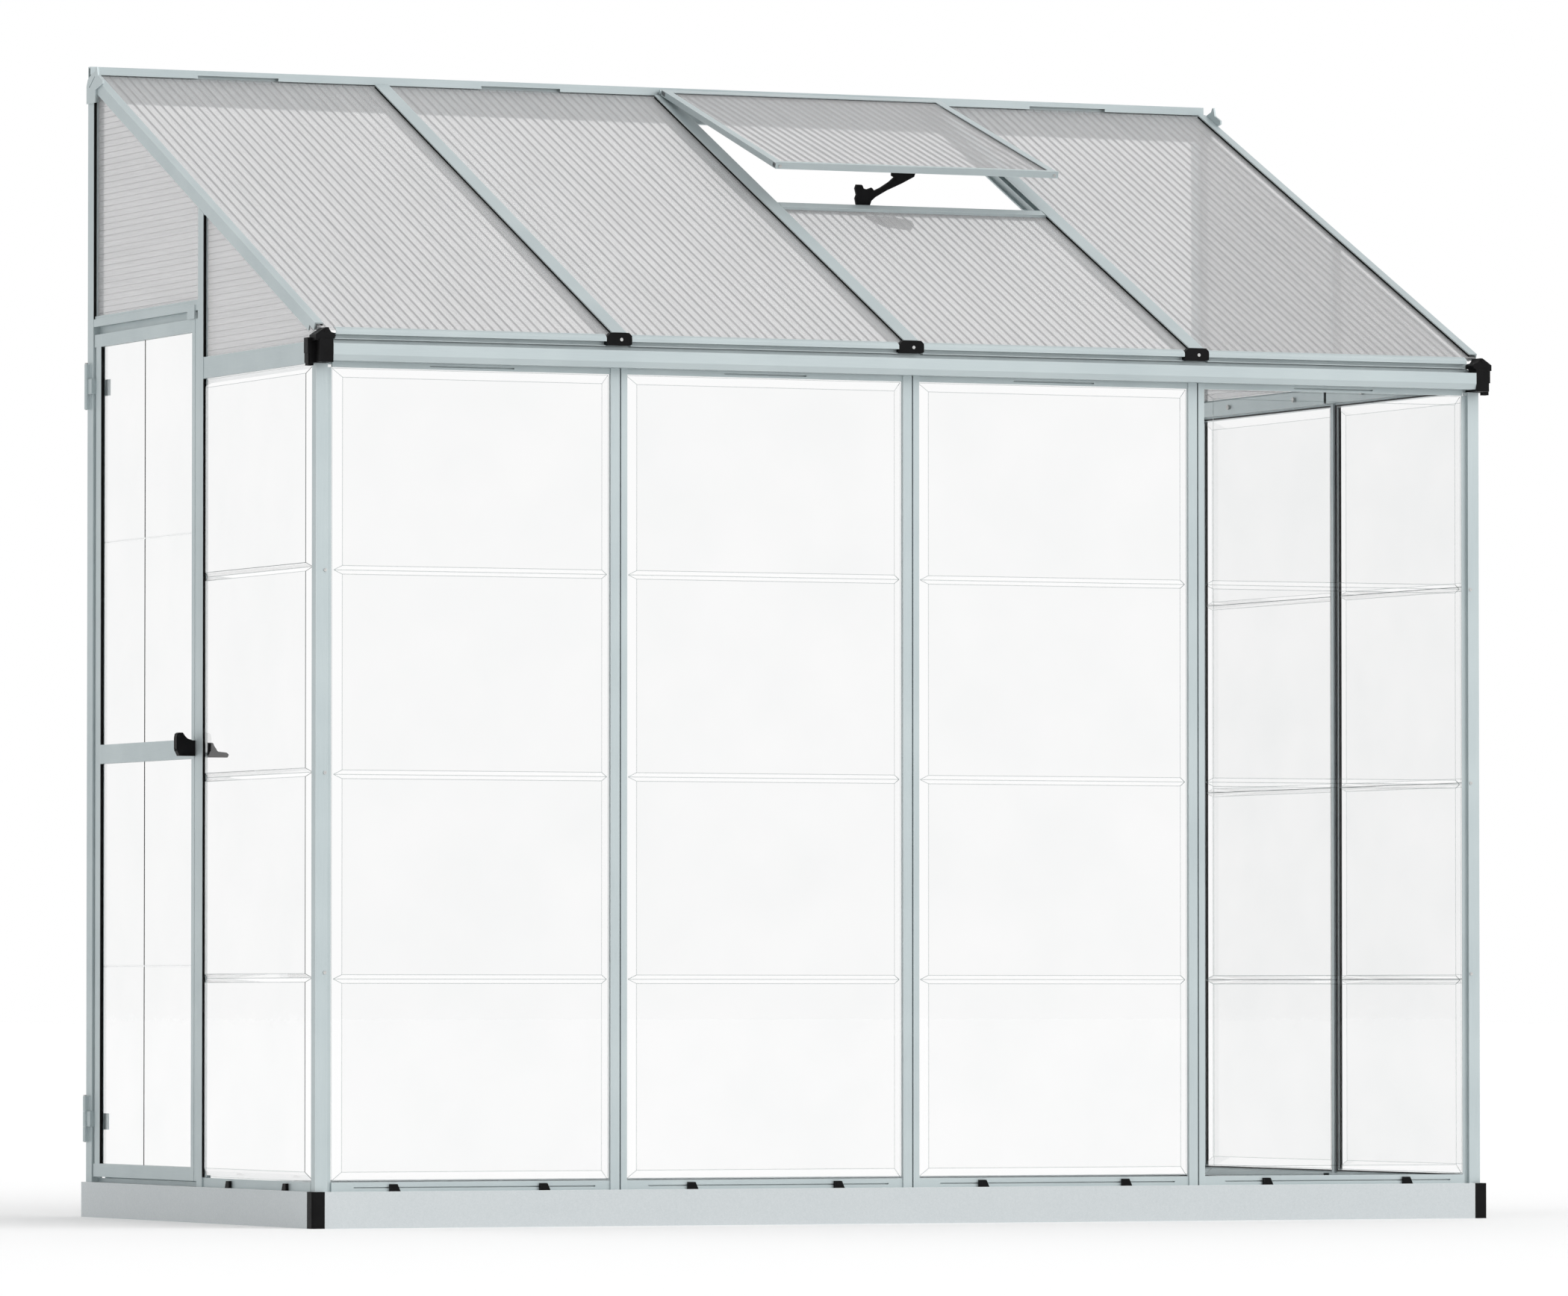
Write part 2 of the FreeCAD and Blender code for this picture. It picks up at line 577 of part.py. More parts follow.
def front_parts():
    d = PANE_RECESS
    bays = front_bays()
    end0 = SETBACK + CORNER_FACE + TONGUE_PLAY
    end1 = BASE_W - end0
    save("front_posts", group(front_post(x) for x in BAY_X[1:-1]))

    body = wall_tube("front", end0, end1, d, POST_DEPTH, BASE_H, SILL_TOP - BODY_DROP, "u")
    lips = [wall_box("front", a, b, LIP_BACK, d, BASE_H, SILL_TOP) for a, b in bays]
    rail = fuse([body] + lips)
    z = BASE_H + SILL_SLOT_UP
    for a, b in bays:
        rail = rail.cut(wall_box("front", a + SILL_SLOT_IN[0], b - SILL_SLOT_IN[1], LIP_BACK - OVER,
                                 d - CLEAR, z, z + SILL_SLOT_H))
    save("bottom_rail_front", rail)

    body = wall_tube("front", end0, end1, d, POST_DEPTH + EAVE_DEEPER, EAVE_Z0 + BODY_DROP, EAVE_Z1, "u")
    shelf_z = EAVE_Z0 + EAVE_LIP_H
    fin = wall_box("front", end0, end1, LIP_BACK, LIP_BACK + WALL_T, shelf_z - WALL_T, SEAM_FIN_Z)
    shelf = wall_box("front", end0, end1, LIP_BACK, d + WALL_T, shelf_z - WALL_T, shelf_z)
    lips = [wall_box("front", a, b, LIP_BACK, d, EAVE_Z0, EAVE_Z0 + EAVE_LIP_H) for a, b in bays]
    rail = fuse([body, fin, shelf] + lips)
    z = EAVE_Z0 + EAVE_SLOT_UP
    for a, b in bays:
        mid = (a + b) / 2
        rail = rail.cut(wall_box("front", mid - EAVE_SLOT / 2, mid + EAVE_SLOT / 2, LIP_BACK - OVER,
                                 d - CLEAR, z, z + EAVE_SLOT_H))
    save("eave_rail", rail)

    for i, (a, b) in enumerate(bays):
        tuck0 = tuck1 = (POST_W - STEM_W) / 2 - PANE_EDGE
        if i == 0:
            tuck0 = CORNER_FIN - PANE_EDGE
        if i == BAYS - 1:
            tuck1 = CORNER_FIN - PANE_EDGE
        pane = formed_pane("front", a - tuck0, b + tuck1, SILL_TOP - LIP_BACK, EAVE_Z0 + LIP_BACK,
                           tuck0, tuck1)
        save("front_pane_%d" % (i + 1), pane)


# ---------------------------------------------------------------- gables
def corner_post():
    """The front left corner post: a hollow square with a set-back fin along each wall."""
    x0 = SETBACK
    y0 = SETBACK
    d = PANE_RECESS
    t = WALL_T
    tube = box(x0, x0 + CORNER_FACE, y0, y0 + CORNER_DEPTH, BASE_H, CORNER_TOP)
    tube = tube.cut(box(x0 + t, x0 + CORNER_FACE - t, y0 + t, y0 + CORNER_DEPTH - t, 0, CORNER_TOP + OVER))
    fin_x = box(x0 + CORNER_FACE, x0 + CORNER_FACE + CORNER_FIN, y0 + d - t, y0 + d, BASE_H, EAVE_Z0)
    fin_y = box(x0 + d - t, x0 + d, y0 + CORNER_DEPTH, FIN_Y, BASE_H, EAVE_Z0)
    return fuse([tube, fin_x, fin_y])


def rear_post():
    """The post against the house wall, drilled for the wall screws."""
    post = wall_tube("left", REAR_POST_Y, BASE_D, 0, REAR_POST_DEPTH, BASE_H, REAR_POST_TOP, "z")
    for z in FIX_Z:
        start = V(SETBACK + REAR_POST_DEPTH / 2, REAR_POST_Y - OVER, z)
        post = post.cut(rod(FIX_HOLE_R, start, V(0, 1, 0), REAR_POST_W + 2 * OVER))
    return post


def gable_post(wall, stem0, stem1):
    """A gable post: a face box, a narrower stem behind it, and a sloping top under the rafter."""
    high = roof_z(GABLE_POST_Y1)
    hood = wall_tube(wall, GABLE_POST_Y, GABLE_POST_Y1, 0, PANE_RECESS, BASE_H, high, "z")
    stem = wall_box(wall, stem0, stem1, PANE_RECESS, GABLE_STEM_DEPTH, BASE_H, high)
    outline = [(-OVER, 0, under_roof(0)), (-OVER, BASE_D, under_roof(BASE_D)),
               (-OVER, BASE_D, 2 * high), (-OVER, 0, 2 * high)]
    return fuse([hood, stem]).cut(prism(outline, (BASE_W + 2 * OVER, 0, 0)))


def gable_post_parts():
    save("corner_posts", both_ends(corner_post()))
    save("rear_posts", both_ends(rear_post()))
    y0, y1 = GABLE_POST_Y, GABLE_POST_Y1
    save("gable_post_left", gable_post("left", y0 + DOOR_POST_STEM_IN, y1))
    save("gable_post_right", gable_post("right", y0 + GABLE_STEM_IN, y1 - GABLE_STEM_IN))


def eave_height_rail(wall, lip0, lip1, body0, body1):
    """A gable rail level with the eaves: a lip in front and a hollow body behind the glazing."""
    lip = wall_box(wall, lip0, lip1, PANE_EDGE, PANE_RECESS, GABLE_RAIL_Z0, EAVE_Z1)
    body = wall_tube(wall, body0, body1, PANE_RECESS, POST_DEPTH,
                     GABLE_RAIL_Z0 + BODY_DROP, EAVE_Z1 - BODY_DROP, "u")
    return fuse([lip, body])


def gable_bottom_rail(wall, u0, u1):
    lip = wall_box(wall, u0, u1, LIP_BACK, PANE_RECESS, BASE_H, SILL_TOP)
    body = wall_tube(wall, u0, u1, PANE_RECESS, POST_DEPTH, BASE_H, SILL_TOP - BODY_DROP, "u")
    return fuse([lip, body])


def gable_rail_parts():
    d = PANE_RECESS
    y0, y1, y_rear = GABLE_POST_Y, GABLE_POST_Y1, REAR_POST_Y
    tuck = GABLE_STEM_IN - TONGUE_PLAY
    body_start = SETBACK + POST_DEPTH + EAVE_DEEPER + CLEAR
    front_rail = eave_height_rail("left", CAP_END + CLEAR, y0, body_start, y0 + tuck)
    rear_rail = eave_height_rail("right", y1, y_rear, y1 - tuck, y_rear)
    save("gable_rails", group([front_rail, mirror_x(front_rail), rear_rail]))

    face = wall_box("left", y1, y_rear, TRANSOM_FACE, d, TRANSOM_Z0, TRANSOM_STEP_Z)
    bead = wall_box("left", y1, y_rear - SEAL_T, LIP_BACK, d, TRANSOM_STEP_Z, TRANSOM_Z1)
    stop = wall_tube("left", y1, y_rear, HEADER_V[0], HEADER_V[1], HEADER_Z0, TRANSOM_Z0 + BODY_DROP, "u")
    link = wall_box("left", y1, y_rear, d, HEADER_V[0], TRANSOM_Z0, TRANSOM_Z0 + WALL_T)
    catch = prism([(SETBACK + CATCH_V, y, z) for y, z in CATCH_OUTLINE], (TRANSOM_FACE - CATCH_V, 0, 0))
    save("transom_rail", group([fuse([face, bead, stop, link]), catch]))

    save("bottom_rails_gable", group([gable_bottom_rail("left", FIN_Y, y0),
                                      gable_bottom_rail("right", FIN_Y, y0),
                                      gable_bottom_rail("right", y1, y_rear)]))
    v0, v1 = THRESHOLD_V
    strip = wall_tube("left", y1, y_rear, v0, v1, BASE_H, BASE_H + THRESHOLD_H, "u")
    lip = wall_box("left", y1, y_rear, v1 - WALL_T, v1, BASE_H + THRESHOLD_H, BASE_H + THRESHOLD_LIP_H)
    save("door_threshold", fuse([strip, lip]))


def gable_glazing_parts():
    y0, y1 = GABLE_POST_Y, GABLE_POST_Y1
    y_rear = REAR_POST_Y - CLEAR
    tuck0, tuck1 = CORNER_FIN - PANE_EDGE, GABLE_STEM_IN - PANE_EDGE
    z0, z1 = SILL_TOP - LIP_BACK, GABLE_RAIL_Z0 + LIP_BACK
    front = formed_pane("left", FIN_Y - tuck0, y0 + tuck1, z0, z1, tuck0, tuck1)
    rear = formed_pane("right", y1 - tuck1, y_rear, z0, z1, tuck1, 0.0)
    save("side_panes", group([front, mirror_x(front), rear]))

    y_start = FIN_Y + TRIM_END
    y_end = y0 + tuck1
    low = EAVE_Z1 + CLEAR
    triangle = [(y_start, low), (y_end, low), (y_end, under_roof(y_end)),
                (y_start, max(under_roof(y_start), low + PANEL_RIB))]
    left = [(y1, TRANSOM_STEP_Z), (y_rear, TRANSOM_STEP_Z),
            (y_rear, under_roof(y_rear)), (y1, under_roof(y1))]
    y_tuck = y1 - tuck1
    right = [(y_tuck, low), (y_rear, low), (y_rear, under_roof(y_rear)), (y_tuck, under_roof(y_tuck))]
    save("gable_panels_front", both_ends(gable_sheet("left", triangle)))
    save("gable_panels_rear", group([gable_sheet("left", left), gable_sheet("right", right)]))


def gable_seal(wall, u, side, z0, z1):
    """A black sealing strip on the side wall of a post, facing the opening beside it."""
    u0, u1 = sorted((u, u + side * SEAL_T))
    return wall_box(wall, u0, u1, SEAL_V0, SEAL_V1, z0 + PANE_EDGE, z1 - PANE_EDGE)


def gable_seal_parts():
    y0, y1, y_rear = GABLE_POST_Y, GABLE_POST_Y1, REAR_POST_Y
    post_top = under_roof(y0) - LIP_BACK
    rear_top = under_roof(y_rear) - BODY_DROP
    strips = [gable_seal("left", y_rear, -1, TRANSOM_STEP_Z, rear_top)]
    for wall in ("left", "right"):
        strips.append(gable_seal(wall, y0, -1, SILL_TOP, GABLE_RAIL_Z0))
        strips.append(gable_seal(wall, y0, -1, EAVE_Z1, post_top))
    strips.append(gable_seal("right", y_rear, -1, SILL_TOP, GABLE_RAIL_Z0))
    strips.append(gable_seal("right", y_rear, -1, EAVE_Z1, rear_top))
    strips.append(gable_seal("right", y1, 1, SILL_TOP, GABLE_RAIL_Z0))
    save("gable_seals", group(strips))


# ---------------------------------------------------------------- gutter and eaves
def gutter_end():
    """A moulded end cap: corner block, drain stub below it and a nose over the rafter end."""
    block = box(CAP_SIDE, CAP_END - TRIM_GAP, GUTTER_Y, CAP_END - 2 * OVER, CAP_Z0, EAVE_Z1)
    block = block.cut(box(CAP_SIDE - OVER, CAP_NOTCH, GUTTER_Y - OVER, 0, CAP_Z0 - OVER, EAVE_Z1 + OVER))
    outlet = box(*OUTLET_X, *OUTLET_Y, *OUTLET_Z)
    stub = box(*STUB_X, *STUB_Y, STUB_Z0, OUTLET_Z[0])
    stub = stub.cut(box(STUB_X[0] + STUB_WALL, STUB_X[1] - STUB_WALL, STUB_Y[0] + STUB_WALL,
                        STUB_Y[1] - STUB_WALL, STUB_Z0 - OVER, OUTLET_Z[0] - STUB_WALL))
    y0, y1 = CAP_NOSE_Y
    nose = prism([(x, y0, z) for x, z in CAP_NOSE], (0, y1 - y0, 0))
    screw = rod(SCREW_R, V(CAP_SCREW[0], y0 + TRIM_GAP, CAP_SCREW[1]), V(0, -1, 0), SCREW_H)
    return fuse([block, outlet, stub, nose]).fuse(screw)


def eaves_parts():
    x0, x1 = CAP_END, BASE_W - CAP_END
    back = SETBACK - TONGUE_PLAY
    t = GUTTER_T
    lip_y = GUTTER_Y + GUTTER_LIP
    outline = [(back, GUTTER_BACK_Z), (back, GUTTER_Z0), (lip_y, GUTTER_Z0), (GUTTER_Y, GUTTER_FOLD),
               (GUTTER_Y, GUTTER_Z1), (lip_y, GUTTER_Z1),
               (lip_y, GUTTER_Z1 - t), (GUTTER_Y + t, GUTTER_Z1 - t),
               (GUTTER_Y + t, GUTTER_FOLD), (lip_y + t, GUTTER_Z0 + t), (back - t, GUTTER_Z0 + t),
               (back - t, GUTTER_BACK_Z)]
    save("gutter", prism([(x0, y, z) for y, z in outline], (x1 - x0, 0, 0)))
    save("gutter_ends", both_ends(gutter_end()))

    caps = []
    stops = [CAP_END + TRIM_END]
    y0 = RAFTER_CAP_Y
    for bay_x in BAY_X[1:-1]:
        x = bay_x + RAFTER_CAP_SHIFT
        cap = prism([(x + u, y0, z) for u, z in RAFTER_CAP], (0, RAFTER_CAP_DEPTH, 0))
        seat = V(x + CAP_SCREW_X, y0 - OVER, CAP_SCREW_Z)
        recess = rod(CAP_RECESS_R, seat, V(0, 1, 0), CAP_RECESS_D + OVER)
        caps.append(cap.cut(recess))
        stops += [x - RAFTER_CAP_HALF - TRIM_GAP, x + RAFTER_CAP_HALF + TRIM_GAP]
    stops.append(BASE_W - CAP_END - TRIM_END)
    save("rafter_caps", group(caps))
    trims = [prism([(stops[2 * i], y, z) for y, z in TRIM], (stops[2 * i + 1] - stops[2 * i], 0, 0))
             for i in range(BAYS)]
    save("eave_trims", group(trims))


# ---------------------------------------------------------------- roof
def rafter(x):
    """A T-shaped rafter with a shelf on each side that carries the roof sheets."""
    s_flange = slope_at(RAIL_Y) - BODY_DROP
    s_web = slope_at(RAIL_Y + EAVE_DEEPER)
    s_start = slope_at(SETBACK + POST_DEPTH + BODY_DROP)
    t = RAFTER_T / 2
    shelf_n = -PANEL_T - SHELF_GAP
    foot = RAFTER_FOOT_W / 2
    whole = fuse([roof_box(x - RAFTER_W / 2, x + RAFTER_W / 2, RAFTER_S0, s_flange, SEAL_H, RAFTER_TOP),
                  roof_box(x - t, x + t, s_start, s_web, RAFTER_BOTTOM, SEAL_H),
                  roof_box(x - t, x + t, RAFTER_S0, s_start, RAFTER_NOSE_N, SEAL_H),
                  roof_box(x - SHELF_W / 2, x + SHELF_W / 2, RAFTER_S0, s_web, shelf_n - SHELF_T, shelf_n),
                  roof_box(x - foot, x + foot, s_start, s_web, RAFTER_BOTTOM, RAFTER_BOTTOM + RAFTER_FOOT_T)])
    x0, x1 = x - RAFTER_W, x + RAFTER_W
    behind = box(x0, x1, BASE_D - RAIL_T, 2 * BASE_D, EAVE_Z1, 2 * RAIL_Z1)
    lip = box(x0, x1, RAIL_Y - CLEAR, 2 * BASE_D, RAIL_LIP_Z - OVER, 2 * RAIL_Z1)
    return whole.cut(behind).cut(lip)


def end_rafter():
    """The left end rafter: a fascia with a flange over the sheets and a shelf below them."""
    x0 = SETBACK
    s_end = slope_at(RAIL_Y) - BODY_DROP
    s_deep = slope_at(SETBACK + CAP_END)
    shelf_n = -PANEL_T - SHELF_GAP
    return fuse([roof_box(x0, x0 + END_FLANGE_W, END_S0, s_end, SEAL_H, RAFTER_TOP),
                 roof_box(x0, x0 + RAFTER_T, s_deep, s_end, -FASCIA_DROP, SEAL_H),
                 roof_box(x0, x0 + RAFTER_T, END_S0, s_deep, RAFTER_NOSE_N, SEAL_H),
                 roof_box(x0, x0 + END_SHELF_W, END_S0, s_end, shelf_n - SHELF_T, shelf_n)])


def vent_sill():
    """The bar below the vent, notched over the rafter shelves and rebated over the sheet below."""
    t = RAFTER_T / 2
    a, b = BAY_X[VENT_BAY] + t + CLEAR, BAY_X[VENT_BAY + 1] - t - CLEAR
    s0, s1 = SILL_S0, SILL_S1
    low, high = SILL_N0 + SILL_GAP_N, SILL_N1 - SILL_TOP_T
    half = RAFTER_W / 2
    sill = fuse([box(a, b, s0, s1, low, high), box(a + half, b - half, s0, s1, high, SILL_N1)])
    sill = sill.cut(box(a - OVER, b + OVER, s0 - OVER, s0 + SILL_REBATE, -PANEL_T - SHELF_GAP, SHELF_GAP))
    sill = sill.cut(box(a - OVER, b + OVER, s0 + SILL_REBATE + WALL_T, s1 - WALL_T,
                        low + WALL_T, high - SILL_WALL_T))
    reach = SHELF_W / 2 - t + CLEAR
    for u0, u1 in ((a - OVER, a + reach), (b - reach, b + OVER)):
        sill = sill.cut(box(u0, u1, s0 - OVER, s1 + OVER, SILL_N0 - OVER, -PANEL_T + SHELF_GAP / 2))
    return roof_place(biggest(sill))


def roof_parts():
    save("rafters_middle", group(rafter(x) for x in BAY_X[1:-1]))
    save("rafters_end", both_ends(end_rafter()))

    beside = RAFTER_T / 2 + PANEL_SKIN
    s_top = slope_at(RAIL_Y + 2 * EAVE_DEEPER)
    for i in range(BAYS):
        a = BAY_X[i] + (beside if i else -PANEL_SIDE)
        b = BAY_X[i + 1] - (beside if i < BAYS - 1 else -PANEL_SIDE)
        top = SILL_S0 + SILL_REBATE - CLEAR if i == VENT_BAY else s_top
        save("roof_panel_%d" % (i + 1), roof_place(twin_wall(a, b, PANEL_S0, top, -PANEL_T)))
    save("vent_sill", vent_sill())

    strips = []
    s_start = PANEL_S0 + 2 * OVER
    s_rail = slope_at(RAIL_Y - BODY_DROP)
    n0, n1 = SHELF_GAP, SEAL_H - SHELF_GAP / 2
    half = RAFTER_W / 2
    for i, x in enumerate(BAY_X[1:-1], 1):
        for side in (-1, 1):
            beside_vent = (i, side) in ((VENT_BAY, 1), (VENT_BAY + 1, -1))
            u0, u1 = sorted((x + side * half, x + side * (half - SEAL_H)))
            strips.append(roof_box(u0, u1, s_start, SILL_S0 - OVER if beside_vent else s_rail, n0, n1))
    x_end = SETBACK + END_FLANGE_W
    strip = roof_box(x_end - SEAL_H, x_end, END_S0 + 2 * OVER, s_rail, n0, n1)
    strips += [strip, mirror_x(strip)]
    save("roof_seals", group(strips))


def wall_rail_parts():
    x0, x1 = SETBACK, RIGHT_FACE
    t = RAIL_T
    rail = fuse([box(x0, x1, BASE_D - t, BASE_D, RAIL_Z0, RAIL_Z1),
                 box(x0, x1, RAIL_Y, BASE_D, RAIL_Z1 - t, RAIL_Z1),
                 box(x0, x1, RAIL_Y, RAIL_Y + t, RAIL_LIP_Z, RAIL_Z1),
                 box(x0, x1, RAIL_Y - RAIL_FOOT, BASE_D, RAIL_Z0, RAIL_Z0 + t)])
    hx0, hx1 = BAY_X[VENT_BAY] - VENT_OVERLAP, BAY_X[VENT_BAY + 1] + VENT_OVERLAP
    hinge = hinge_point()
    bead = rod(HINGE_BEAD_R, V(hx0, hinge.y, hinge.z), V(1, 0, 0), hx1 - hx0)
    web = box(hx0, hx1, hinge.y, RAIL_Y + CLEAR, hinge.z - HINGE_WEB / 2, hinge.z + HINGE_WEB / 2)
    rail = fuse([rail, bead, web])
    for i in range(BAYS):
        mid = (BAY_X[i] + BAY_X[i + 1]) / 2
        if i != VENT_BAY:
            rail = rail.cut(box(mid - EAVE_SLOT / 2, mid + EAVE_SLOT / 2, RAIL_Y - OVER, RAIL_Y + t + OVER,
                                RAIL_LIP_Z - OVER, RAIL_LIP_Z + RAIL_SLOT_H))
    save("wall_rail", rail)

    outer = SETBACK - RAIL_END_GAP - RAIL_END_T
    cap = prism([(outer, y, z) for y, z in RAIL_END], (RAIL_END_T, 0, 0))
    groove = prism([(outer - OVER, y, z) for y, z in RAIL_END_GROOVE], (OVER + RAIL_END_GROOVE_D, 0, 0))
    save("wall_rail_ends", both_ends(cap.cut(groove)))


# ---------------------------------------------------------------- roof vent
def hinge_point():
    z = ROOF_Z0 + HINGE_S * sin(radians(ROOF_DEG)) + HINGE_N * cos(radians(ROOF_DEG))
    return V(0, HINGE_Y, z)


def vent_place(shape):
    """Carry a vent piece from its closed place on the slope to the open rest pose."""
    shape = roof_place(shape)
    shape.rotate(hinge_point(), V(-1, 0, 0), VENT_REST_DEG)
    return shape


def channel_box(x0, x1, s0, s1, web):
    """A C-shaped vent rail round the edge of the sheet, its web on the named side."""
    n0, n1 = VENT_UNDER, VENT_UNDER + VENT_H
    t = WALL_T
    o = OVER
    slot = {"front": (x0 - o, x1 + o, s0 + t, s1 + o), "back": (x0 - o, x1 + o, s0 - o, s1 - t),
            "left": (x0 + t, x1 + o, s0 - o, s1 + o), "right": (x0 - o, x1 - t, s0 - o, s1 + o)}[web]
    return box(x0, x1, s0, s1, n0, n1).cut(box(*slot, n0 + t, n1 - t))


def vent_hook(x0, x1):
    """An open hook along x that wraps the hinge bead, in slope coordinates."""
    run = V(1, 0, 0)
    ring = rod(HOOK_R1, V(x0, 0, 0), run, x1 - x0)
    ring = ring.cut(rod(HOOK_R0, V(x0 - OVER, 0, 0), run, x1 - x0 + 2 * OVER))
    reach = 3 * HOOK_R1
    spread = reach * tan(radians(HOOK_OPEN_DEG / 2))
    wedge = prism([(x0 - OVER, 0, 0), (x0 - OVER, reach, spread), (x0 - OVER, reach, -spread)],
                  (x1 - x0 + 2 * OVER, 0, 0))
    wedge.rotate(V(0, 0, 0), run, HOOK_AIM_DEG - ROOF_DEG + VENT_REST_DEG)
    ring = ring.cut(wedge)
    ring.translate(V(0, HINGE_S, HINGE_N))
    return ring


def vent_parts():
    x0, x1 = BAY_X[VENT_BAY] - VENT_OVERLAP, BAY_X[VENT_BAY + 1] + VENT_OVERLAP
    s0 = HINGE_S - VENT_LEN
    s_top0, s_top1 = HINGE_S - VENT_TOP_S[0], HINGE_S - VENT_TOP_S[1]
    w = VENT_FRAME
    n0, n1 = VENT_UNDER, VENT_UNDER + VENT_H
    front = fuse([channel_box(x0, x1, s0, s0 + w, "front"),
                  box(x0, x1, s0 - VENT_LIP_T, s0, n0, n1 + VENT_LIP_UP)])
    save("vent_front_rail", vent_place(front))
    save("vent_side_rails", group([vent_place(channel_box(x0, x0 + w, s0 + w, s_top0, "left")),
                                   vent_place(channel_box(x1 - w, x1, s0 + w, s_top0, "right"))]))

    arm = box(x0, x1, s_top1 - OVER, HINGE_S - HOOK_R1 + OVER,
              HINGE_N - HOOK_ARM_T / 2, HINGE_N + HOOK_ARM_T / 2)
    room = rod(HOOK_R0 + HOOK_ARM_PLAY, V(x0 - OVER, HINGE_S, HINGE_N), V(1, 0, 0), x1 - x0 + 2 * OVER)
    top = fuse([channel_box(x0, x1, s_top0, s_top1, "back"), arm.cut(room), vent_hook(x0, x1)])
    save("vent_top_rail", vent_place(top))

    edge = VENT_SHEET_IN
    sheet = twin_wall(x0 + edge, x1 - edge, s0 + edge, s_top1 - edge, (n0 + n1 - PANEL_T) / 2)
    save("vent_panel", vent_place(sheet))

    screws = [rod(SCREW_R, V(x, s0 - VENT_LIP_T, (n0 + n1) / 2), V(0, -1, 0), SCREW_H)
              for x in (x0 + VENT_SCREW_IN, x1 - VENT_SCREW_IN)]
    save("vent_screws", vent_place(group(screws)))

    back1 = STAY_S - STAY_T / 2 - STAY_PLAY
    plate = prism([(STAY_X + u, back1 - BRACKET_T, n) for u, n in BRACKET], (0, BRACKET_T, 0))
    head_s = back1 + STAY_T + STAY_HEAD_GAP
    pin = rod(STAY_PIN_R, V(STAY_X, back1, STAY_N), V(0, 1, 0), head_s + STAY_HEAD_T - back1)
    head = rod(STAY_HEAD_R, V(STAY_X, head_s, STAY_N), V(0, 1, 0), STAY_HEAD_T)
    save("vent_stay_bracket", vent_place(fuse([plate, pin, head])))


def stay_parts():
    s0 = STAY_S - STAY_T / 2
    body = prism([(STAY_X + u, s0, STAY_N + n) for u, n in STAY_ARM], (0, STAY_T, 0))
    eye = rod(STAY_EYE_R, V(STAY_X, s0, STAY_N), V(0, 1, 0), STAY_T)
    hole = rod(STAY_HOLE_R, V(STAY_X, s0 - OVER, STAY_N), V(0, 1, 0), STAY_T + 2 * OVER)
    save("stay_arm", vent_place(fuse([body, eye]).cut(hole)))

    n0, n1 = PEG_PLATE_N
    peg = fuse([box(PEG_X - PEG_PLATE_HALF, PEG_X + PEG_PLATE_HALF, SILL_S1, SILL_S1 + PEG_PLATE_T, n0, n1),
                rod(PEG_R, V(PEG_X, SILL_S1, PEG_N), V(0, 1, 0), PEG_REACH)])
    save("stay_peg", roof_place(peg))


# ---------------------------------------------------------------- door
def leaf_pane(z0, z1, y0, y1, level_z):
    """A flat sheet with a shallow upright groove down its middle and one level groove."""
    x0 = DOOR_PANE_X
    sheet = box(x0, x0 + LEAF_PANE_T, y0, y1, z0, z1)
    mid = DOOR_PANE_MID
    half = LEAF_GROOVE_W / 2
    upright = prism([(x0, mid - half, z0 - OVER), (x0, mid + half, z0 - OVER),
                     (x0 + LEAF_GROOVE_D, mid, z0 - OVER)], (0, 0, z1 - z0 + 2 * OVER))
    level = prism([(x0, y0 - OVER, level_z - half), (x0, y0 - OVER, level_z + half),
                   (x0 + LEAF_GROOVE_D, y0 - OVER, level_z)], (0, y1 - y0 + 2 * OVER, 0))
    return sheet.cut(upright).cut(level)


def stile(y0, y1):
    """An upright of the door leaf, hollow and open at its ends."""
    t = WALL_T
    outer = box(DOOR_X0, DOOR_X1, y0, y1, DOOR_Z0, DOOR_Z1)
    return outer.cut(box(DOOR_X0 + t, DOOR_X1 - t, y0 + t, y1 - t, DOOR_Z0 - OVER, DOOR_Z1 + OVER))


def door_rail(y0, y1, z0, z1):
    """A level rail between the stiles, hollow and open at its ends."""
    t = WALL_T
    outer = box(DOOR_X0, DOOR_X1, y0, y1, z0, z1)
    return outer.cut(box(DOOR_X0 + t, DOOR_X1 - t, y0 - OVER, y1 + OVER, z0 + t, z1 - t))


